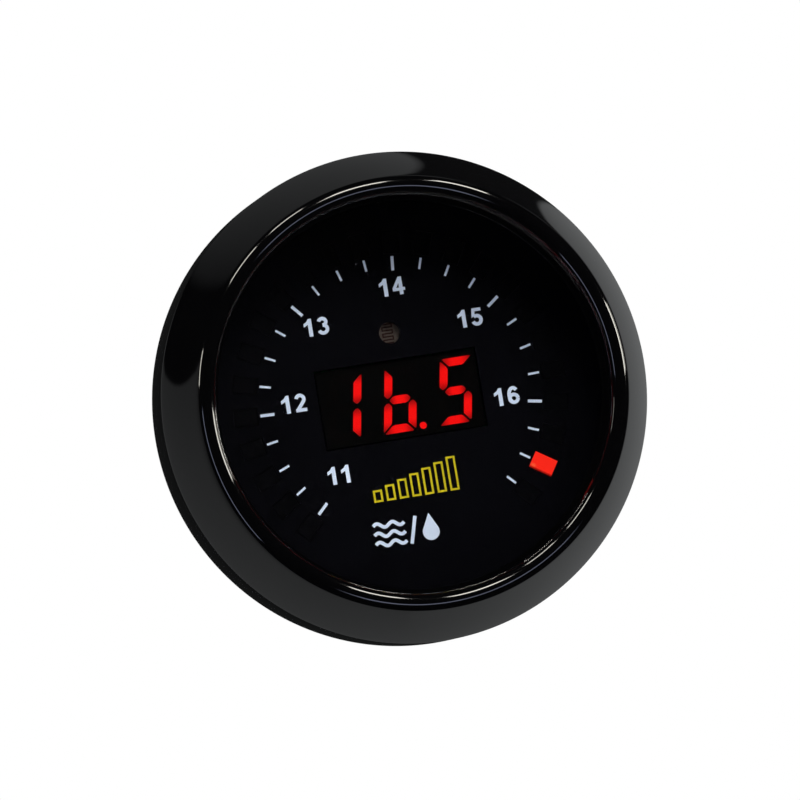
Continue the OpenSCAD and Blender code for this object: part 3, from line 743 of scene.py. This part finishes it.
def hollow_bar(x, low, width, height):
    """Four edges of an open bar."""
    return [
        bar(x, low, x + LEVEL_LINE, low + height),
        bar(x + width - LEVEL_LINE, low, x + width, low + height),
        bar(x, low, x + width, low + LEVEL_LINE),
        bar(x, low + height - LEVEL_LINE, x + width, low + height),
    ]


level_left = -(LEVEL_COUNT * LEVEL_W + (LEVEL_COUNT - 1) * LEVEL_GAP) / 2
levels = joined(
    "level_bars",
    [
        printed(
            f"level_{i}",
            hollow_bar(
                level_left + i * (LEVEL_W + LEVEL_GAP),
                LEVEL_BASE,
                LEVEL_W,
                LEVEL_LOW + (LEVEL_HIGH - LEVEL_LOW) * i / (LEVEL_COUNT - 1),
            ),
        )
        for i in range(LEVEL_COUNT)
    ],
)
fit(levels, "housing", "dial_print", finish=YELLOW_INK)

wave_left = -DROP_R - DROP_GAP - WAVE_LENGTH


def wave(row):
    """A wavy stroke, below, on or above the middle row."""
    path = [
        (
            wave_left + WAVE_LENGTH * i / WAVE_STEPS,
            SIGN_Y + row * WAVE_SPACING + WAVE_RISE * math.sin(WAVE_TURN * i / WAVE_STEPS),
        )
        for i in range(WAVE_STEPS + 1)
    ]
    return printed(f"wave_{row}", [ribbon(path, WAVE_LINE)])


waves = [wave(row) for row in (-1, 0, 1)]
slash_x = wave_left + WAVE_LENGTH + SLASH_GAP
slash_ends = [(slash_x + end * SLASH_LEAN, SIGN_Y + end * SLASH_HALF) for end in (-1, 1)]
slash = printed("slash", [ribbon(slash_ends, WAVE_LINE)])
drop_centre = (slash_x + DROP_GAP + DROP_R, SIGN_Y - DROP_LOW)
drop_tip = (drop_centre[0], drop_centre[1] + DROP_TIP * DROP_R)
drop = printed("drop", [arc(drop_centre, DROP_R, *DROP_ARC, DROP_STEPS) + [drop_tip]])
signs = joined("air_fuel_signs", waves + [slash, drop])
fit(signs, "housing", "dial_print")


# Lit bars of the display, each with its own soft corners


def flip(points, x, y):
    """Points mirrored across an axis where its factor is -1."""
    return [(p[0] * x, p[1] * y) for p in points]


half_w, half_h = DIGIT_W / 2, DIGIT_H / 2
TOP_BAR = [
    (-half_w + BAR_GAP, half_h),
    (half_w - BAR_GAP, half_h),
    (half_w - BAR_W - BAR_GAP, half_h - BAR_W),
    (-half_w + BAR_W + BAR_GAP, half_h - BAR_W),
]
SIDE_BAR = [
    (-half_w, half_h - BAR_GAP),
    (-half_w + BAR_W, half_h - BAR_W - BAR_GAP),
    (-half_w + BAR_W, BAR_W / 2 + BAR_GAP),
    (-half_w + BAR_W / 2, BAR_GAP),
    (-half_w, BAR_W / 2 + BAR_GAP),
]
MIDDLE_BAR = [
    (-half_w + BAR_W / 2 + BAR_GAP, 0),
    (-half_w + BAR_W + BAR_GAP, BAR_W / 2),
    (half_w - BAR_W - BAR_GAP, BAR_W / 2),
    (half_w - BAR_W / 2 - BAR_GAP, 0),
    (half_w - BAR_W - BAR_GAP, -BAR_W / 2),
    (-half_w + BAR_W + BAR_GAP, -BAR_W / 2),
]
BARS = {
    "a": TOP_BAR,
    "b": flip(SIDE_BAR, -1, 1),
    "c": flip(SIDE_BAR, -1, -1),
    "d": flip(TOP_BAR, 1, -1),
    "e": flip(SIDE_BAR, 1, -1),
    "f": SIDE_BAR,
    "g": MIDDLE_BAR,
}


def lit_bar(name, outline, shift):
    """One glowing bar, leaning with the digit, mapped from end to end."""
    points = [(x + y * SLANT + shift, y) for x, y in outline]
    piece = plate(name, points, SEGMENT_REAR, SEGMENT_FACE, BAR_ROUND)
    xs, ys = [p[0] for p in points], [p[1] for p in points]
    if max(xs) - min(xs) > max(ys) - min(ys):
        map_plan(piece, (min(xs), (min(ys) + max(ys)) / 2), (1, 0), max(xs) - min(xs), BAR_W)
    else:
        map_plan(piece, ((min(xs) + max(xs)) / 2, min(ys)), (0, 1), max(ys) - min(ys), BAR_W)
    return piece


lit = [
    lit_bar(f"bar_{digit}{letter}", BARS[letter], (digit - 1) * DIGIT_SPACING)
    for digit, letters in enumerate(LIT_BARS)
    for letter in letters
]
point_y = -half_h + POINT_D / 2
point_x = half_w + POINT_GAP + POINT_D / 2 + point_y * SLANT
fresh()
bpy.ops.mesh.primitive_cylinder_add(
    vertices=POINT_STEPS,
    radius=POINT_D / 2 * MM,
    depth=(SEGMENT_FACE - SEGMENT_REAR) * MM,
    location=Vector((point_x, point_y, (SEGMENT_FACE + SEGMENT_REAR) / 2)) * MM,
)
point = bpy.context.active_object
bpy.ops.object.transform_apply(location=True, rotation=True, scale=True)
map_plan(point, (point_x - POINT_D, point_y), (1, 0), 2 * POINT_D, POINT_D)
lit_display = joined("lit_bars", lit + [point])
fit(lit_display, "housing", "lit_red", "lit_segments")


# Photocell: a wavy track on the glazed face behind the dial

TRACK_RUNS, TRACK_SPACING, TRACK_HALF, TRACK_W, TRACK_T = 7, 0.39, 0.62, 0.17, 0.04
TRACK_SHIFT = -0.1
track_path = []
for run in range(TRACK_RUNS):
    y = SENSOR_Y + (run - (TRACK_RUNS - 1) / 2) * TRACK_SPACING
    ends = (-TRACK_HALF, TRACK_HALF) if run % 2 else (TRACK_HALF, -TRACK_HALF)
    track_path += [(x + TRACK_SHIFT, y) for x in ends]
track = plate("photocell_track", ribbon(track_path, TRACK_W), SENSOR_FACE, SENSOR_FACE + TRACK_T)
fit(track, "housing", "sensor_ceramic", finish=CADMIUM_TRACK)


# Copies of the outer mouldings and screws, with a small round on every edge

# In degrees: faces that turn by less are merged, and edges that turn by more are rounded
FLAT, ROUNDED_OVER = 0.5, 32


def merged_copy(node_name):
    """A CAD node's own shape as a new piece in edit mode, its loose triangles merged."""
    piece = frame["nodes"][node_name].copy()
    piece.data = piece.data.copy()
    for key in list(piece.keys()):
        del piece[key]
    piece.parent = None
    piece.name = piece.data.name = node_name + "_skin"
    bpy.context.collection.objects.link(piece)
    picked(piece)
    bpy.ops.object.mode_set(mode="EDIT")
    welded()
    bpy.ops.mesh.dissolve_limited(angle_limit=math.radians(FLAT))
    return piece


for node_name, slot, width in (
    ("housing_cup", "cup_black", 0.12),
    ("power_socket", "socket_black", 0.08),
    ("sensor_socket", "socket_black", 0.08),
    ("case_screws", "zinc_steel", 0.1),
):
    copied = merged_copy(node_name)
    rounded(copied, width, 2, ROUNDED_OVER)
    hand_over(copied, "housing", slot, [node_name])


# Threaded studs

STUD_R, ROOT_R, PITCH = 2.0, 1.6, 0.7
STUD_X = 17.5
NECK_END = plan("housing_cup")[0].z - 0.3
STUD_TIP = plan("mounting_studs")[0].z
THREAD_STEPS = 10
ROD_STEPS, ROD_SMOOTH, ROD_OVERLAP = 32, 35, 0.2
STUD_ROUND = 0.1
# Of half a pitch, the share that is crest and the share that is flank; the rest is root
CREST, FLANK = 0.1, 0.6


def tooth(turns):
    """Radius of the thread at a count of turns: flat root, two flanks and a flat crest."""
    share = abs(turns % 1 - 0.5) * 2
    return STUD_R - (STUD_R - ROOT_R) * min(max((share - CREST) / FLANK, 0), 1)


def stud_thread(name, x):
    """A rod extruded ring by ring, its rings then drawn in to a rolled thread with a cut tip."""
    length = NECK_END + ROD_OVERLAP - STUD_TIP
    rings = round(length / PITCH * THREAD_STEPS)
    fresh()
    bpy.ops.mesh.primitive_circle_add(vertices=ROD_STEPS, radius=STUD_R * MM, fill_type="NGON")
    thread = piece_named(name)
    for _ in range(rings):
        bpy.ops.mesh.extrude_region_move(
            TRANSFORM_OT_translate={"value": (0, 0, length / rings * MM)}
        )
    bpy.ops.mesh.select_all(action="SELECT")
    bpy.ops.mesh.normals_make_consistent(inside=False)
    bpy.ops.object.mode_set(mode="OBJECT")
    for vertex in thread.data.vertices:
        turned = math.atan2(vertex.co.y, vertex.co.x) / (2 * math.pi)
        height = vertex.co.z / MM
        radius = min(tooth(height / PITCH - turned), ROOT_R + height)
        vertex.co = (*(vertex.co.xy.normalized() * radius * MM), vertex.co.z)
    smooth(thread, ROD_SMOOTH)
    thread.data.transform(FACING @ Matrix.Translation(Vector((x, 0, STUD_TIP)) * MM))
    return thread


stud_heads = merged_copy("mounting_studs")
bpy.ops.mesh.select_all(action="SELECT")
bpy.ops.mesh.bisect(
    plane_co=(0, -NECK_END * MM, 0), plane_no=(0, 1, 0), use_fill=True, clear_outer=True
)
rounded(stud_heads, STUD_ROUND, 2, ROUNDED_OVER)
threads = [stud_thread(f"stud_thread_{side}", x) for side, x in enumerate((-STUD_X, STUD_X))]
studs = joined("threaded_studs", [stud_heads] + threads)
hand_over(studs, "housing", "zinc_steel", ["mounting_studs"])


# The lit window of the scale

pad_angle = SCALE_SWEEP / 2 - LIT_PAD * SCALE_SWEEP / (SCALE_COUNT - 1)
pad_length = PAD_OUTER - PAD_INNER
fresh()
bpy.ops.mesh.primitive_cube_add(size=1, location=(0, 0, 0))
pad = bpy.context.active_object
pad.name = pad.data.name = "lit_window"
pad_centre = Vector((0, (PAD_INNER + PAD_OUTER) / 2, PAD_FACE + LIT_PAD_T / 2))
pad_size = Vector((PAD_W, pad_length, LIT_PAD_T))
pad.data.transform(Matrix.Translation(pad_centre * MM) @ Matrix.Diagonal((*(pad_size * MM), 1)))
map_plan(pad, (0, PAD_INNER), (0, 1), pad_length, PAD_W)
pad.data.transform(Matrix.Rotation(math.radians(pad_angle), 4, "Z"))
fit(pad, "housing", "lit_red", finish=glowing_window())


# Studio, in metres: white surroundings, a pale floor, nine lamps round the dial and two behind

scene = bpy.context.scene
scene.view_settings.view_transform = "Standard"

CAMERA_AT = Vector((-0.1432, -0.7861, -0.0382))
CAMERA_VIEW = Vector((0.18009, 0.98248, 0.04794))
CAMERA_UP = Vector((0.15339, -0.07619, 0.98522))
CAMERA_LENS, SENSOR_W = 291.4, 36

bpy.ops.object.camera_add(location=CAMERA_AT)
camera = bpy.context.active_object
camera.data.lens = CAMERA_LENS
camera.data.sensor_width = SENSOR_W
camera.data.dof.use_dof = False
back = -CAMERA_VIEW.normalized()
right = CAMERA_UP.cross(back).normalized()
camera.rotation_euler = Matrix((right, back.cross(right), back)).transposed().to_euler()
scene.camera = camera

world = bpy.data.worlds.new("white_surroundings")
world.use_nodes = True
scene.world = world
tree = world.node_tree
# The share of the surroundings that lights the gauge; seen or mirrored, they are full white
AMBIENT = 0.45
rays = add_node(tree, "LightPath")
seen = rays.outputs["Is Camera Ray"]
for kind in ("Is Glossy Ray", "Is Transmission Ray"):
    either = add_node(tree, "Math", {"operation": "MAXIMUM"}, {0: seen, 1: rays.outputs[kind]})
    seen = either.outputs[0]
strength = add_node(tree, "MapRange", {"To Min": AMBIENT, "To Max": 1.0}, {"Value": seen})
tree.links.new(strength.outputs["Result"], tree.nodes["Background"].inputs["Strength"])
tree.nodes["Background"].inputs["Color"].default_value = (1, 1, 1, 1)

FLOOR_R, FLOOR_Z = 0.6, -0.09
fresh()
bpy.ops.mesh.primitive_circle_add(
    vertices=96, radius=FLOOR_R, fill_type="NGON", location=(0, 0, FLOOR_Z)
)
floor = bpy.context.active_object
floor.name = "floor"
# Matt pale paper: white where the lamps reach it, with a soft shadow under the gauge
pale_paper = new_material("pale_paper", {"Roughness": 0.9, "Base Color": colour("#D6D6D9")})[0]
floor.data.materials.append(pale_paper)
floor.visible_glossy = False


def toward(azimuth, polar):
    """Direction from the gauge: azimuth clockwise from the top of the dial, polar off its axis."""
    a, p = math.radians(azimuth), math.radians(polar)
    return Vector((math.sin(p) * math.sin(a), -math.cos(p), math.sin(p) * math.cos(a)))


# Every lamp's distance from the gauge
LAMP_AWAY = 0.6


def lamp(name, azimuth, polar, width, height, radiance, tone):
    """A lamp that faces the gauge; its size is given as spans of azimuth and polar angle."""
    way = toward(azimuth, polar)
    beside = toward(azimuth + 90, 90)
    wide, high = (2 * LAMP_AWAY * math.tan(math.radians(span / 2)) for span in (width, height))
    bpy.ops.object.light_add(type="AREA", location=way * LAMP_AWAY)
    light = bpy.context.active_object
    light.name = name
    light.data.shape = "RECTANGLE"
    light.data.size = wide * math.sin(math.radians(polar))
    light.data.size_y = high
    light.data.color = colour(tone)[:3]
    light.data.energy = radiance * math.pi * light.data.size * light.data.size_y
    light.rotation_euler = Matrix((beside, way.cross(beside), way)).transposed().to_euler()
    return light


WARM_WHITE = "#FFFBF0"
COLD_WHITE = "#C8D0F0"
# Azimuth, polar angle, span round the axis, span in polar angle, radiance and tone
LAMPS = (
    (9, 39, 16, 11, 20, WARM_WHITE),
    (32.5, 50, 13, 12, 20, WARM_WHITE),
    (82, 66, 16, 12, 20, WARM_WHITE),
    (290.5, 91, 11, 10, 12, WARM_WHITE),
    (325.5, 62, 13, 10, 14, WARM_WHITE),
    (343.5, 61, 11, 10, 14, WARM_WHITE),
    (82, 80, 15, 6, 9, WARM_WHITE),
    (156, 25, 70, 8, 4, COLD_WHITE),
    (255, 58, 46, 8, 4, COLD_WHITE),
)
for index, settings in enumerate(LAMPS):
    lamp(f"lamp_{index}", *settings)
# Two broad weak ones light the rear, unseen in the gloss
REAR_LAMP = (140, 62, 40, 1.8, "#FFFFFF")
for name, azimuth in (("rear_lamp_left", 300), ("rear_lamp_right", 60)):
    rear = lamp(name, azimuth, *REAR_LAMP)
    rear.visible_glossy = False


# The room that the gloss mirrors: dark in front and behind, grey round the sides

ROOM_R = 1.5
fresh()
bpy.ops.mesh.primitive_uv_sphere_add(segments=96, ring_count=48, radius=ROOM_R, location=(0, 0, 0))
room = bpy.context.active_object
room.name = "room"
bpy.ops.object.shade_smooth()
room.visible_camera = room.visible_diffuse = room.visible_shadow = False
room_material = bpy.data.materials.new("room_paint")
room_material.use_nodes = True
tree = room_material.node_tree
tree.nodes.clear()
place = add_node(tree, "TexCoord").outputs["Object"]
way = add_node(tree, "VectorMath", {"operation": "NORMALIZE"}, {0: place})
parts = add_node(tree, "SeparateXYZ", {}, {0: way.outputs[0]})
rearward = parts.outputs["Y"]

# How far to the rear, from -1 to 1, the walls fade in and out and the rear's faint light begins
WALLS_START, WALLS_END = (0.22, 0.33), (0.83, 0.92)
REAR_START, REAR_LEVEL = (0.9, 0.95), 0.011
rise, fall = (
    add_node(
        tree,
        "MapRange",
        {
            "From Min": fade[0],
            "From Max": fade[1],
            "To Min": first,
            "To Max": 1.0 - first,
            "interpolation_type": "SMOOTHSTEP",
        },
        {"Value": rearward},
    ).outputs[0]
    for fade, first in ((WALLS_START, 0.0), (WALLS_END, 1.0))
)
sides = add_node(tree, "Math", {"operation": "MULTIPLY"}, {0: rise, 1: fall}).outputs[0]
behind = add_node(
    tree,
    "MapRange",
    {"From Min": REAR_START[0], "From Max": REAR_START[1], "To Max": REAR_LEVEL},
    {"Value": rearward},
).outputs[0]

turn = add_node(
    tree, "Math", {"operation": "ARCTAN2"}, {0: parts.outputs["X"], 1: parts.outputs["Z"]}
).outputs[0]
# Where the cone of the bezel looks: further back on the right of the room than on the left
LOOK, LOOK_SWAY, LOOK_SPAN = 0.555, 0.155, 0.09
sway = add_node(tree, "Math", {"operation": "SINE"}, {0: turn}).outputs[0]
centre = add_node(
    tree, "Math", {"operation": "MULTIPLY_ADD", 1: LOOK_SWAY, 2: LOOK}, {0: sway}
).outputs[0]
off = add_node(tree, "Math", {"operation": "SUBTRACT"}, {0: rearward, 1: centre}).outputs[0]
off = add_node(tree, "Math", {"operation": "DIVIDE", 1: LOOK_SPAN}, {0: off}).outputs[0]
bow = add_node(tree, "Math", {"operation": "MULTIPLY"}, {0: off, 1: off}).outputs[0]
# Edges of the walls between two turns bow by a first angle to a last one, all in degrees
BOWS = ((-74, 24.5, -5, 5), (24.5, 51, 0, -10))
bowed = turn
for start, stop, first, last in BOWS:
    lean = add_node(
        tree,
        "MapRange",
        {
            "From Min": math.radians(start),
            "From Max": math.radians(stop),
            "To Min": math.radians(first),
            "To Max": math.radians(last),
        },
        {"Value": turn},
    ).outputs[0]
    bowed = add_node(
        tree, "Math", {"operation": "MULTIPLY_ADD"}, {0: bow, 1: lean, 2: bowed}
    ).outputs[0]
position = add_node(
    tree, "MapRange", {"From Min": -math.pi, "From Max": math.pi}, {"Value": bowed}
).outputs[0]

# Grey level of the walls by degrees clockwise from the top of the dial
WALL_LEVELS = (
    (-180, 0.34), (-140, 0.34), (-120, 0.32), (-100, 0.28), (-80, 0.21), (-74.5, 0.19),
    (-73.5, 0.0), (-46, 0.0), (-41, 0.07), (-30, 0.12), (-10, 0.18), (10, 0.22), (23.5, 0.25),
    (24.5, 0.012), (51, 0.012), (52, 0.34), (57, 0.39), (95, 0.44), (130, 0.44), (150, 0.39),
    (180, 0.34),
)
levels_ramp = add_node(tree, "ValToRGB", {}, {"Fac": position})
stops = levels_ramp.color_ramp.elements
while len(stops) > 1:
    stops.remove(stops[0])
for number, (degrees, level) in enumerate(WALL_LEVELS):
    at = (degrees + 180) / 360
    stop = stops[0] if number == 0 else stops.new(at)
    stop.position = at
    stop.color = (level, level, level, 1)
glow = add_node(
    tree,
    "Math",
    {"operation": "MULTIPLY_ADD"},
    {0: sides, 1: levels_ramp.outputs[0], 2: behind},
)
emission = add_node(
    tree, "Emission", {"Color": colour("#FBFEFF")}, {"Strength": glow.outputs[0]}
)
add_node(tree, "OutputMaterial", {}, {"Surface": emission.outputs[0]})
room.data.materials.append(room_material)
